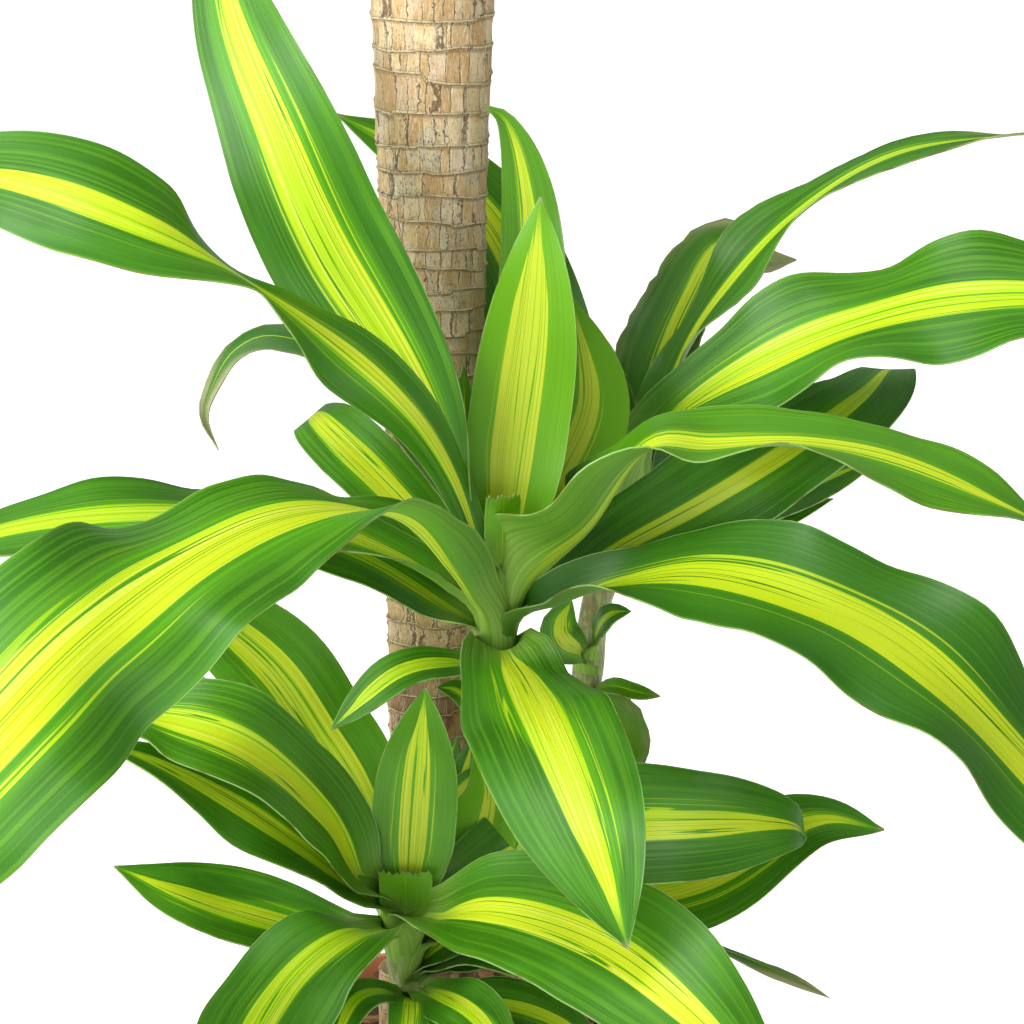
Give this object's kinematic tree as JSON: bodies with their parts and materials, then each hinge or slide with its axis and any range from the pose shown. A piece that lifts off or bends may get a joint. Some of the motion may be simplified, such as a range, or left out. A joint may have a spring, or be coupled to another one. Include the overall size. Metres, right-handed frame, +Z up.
{
  "type": "potted corn plant",
  "caption": "Potted corn plant with sawn woody canes and arching leafy shoots, yellow-striped wavy leaves, in a tapered round pot filled with soil.",
  "frame": {"origin": "middle of the flat underside of the pot", "axes": "+Z up along the pot's axis; -Y is the plant's front, towards which the two low shoots stand, and +X is to the right seen from the front"},
  "size_m": [0.854, 0.7776, 1.2522],
  "materials": {
    "pot": "satin terracotta-coloured plastic",
    "soil": "coarse dark bark mix",
    "bark": "dry fissured bark with pale leaf-scar rings",
    "leaf": "glossy green with a lime-yellow middle stripe"
  },
  "bodies": {
    "root": {"pot": "pot", "soil": "soil", "cane_tall": "bark", "cane_middle": "bark", "cane_short": "bark", "shoot_front": "leaf", "shoot_right": "leaf", "shoot_low": "leaf", "shoot_foot": "leaf", "shoot_top_left": "leaf", "shoot_top_right": "leaf"}
  },
  "joints": []
}
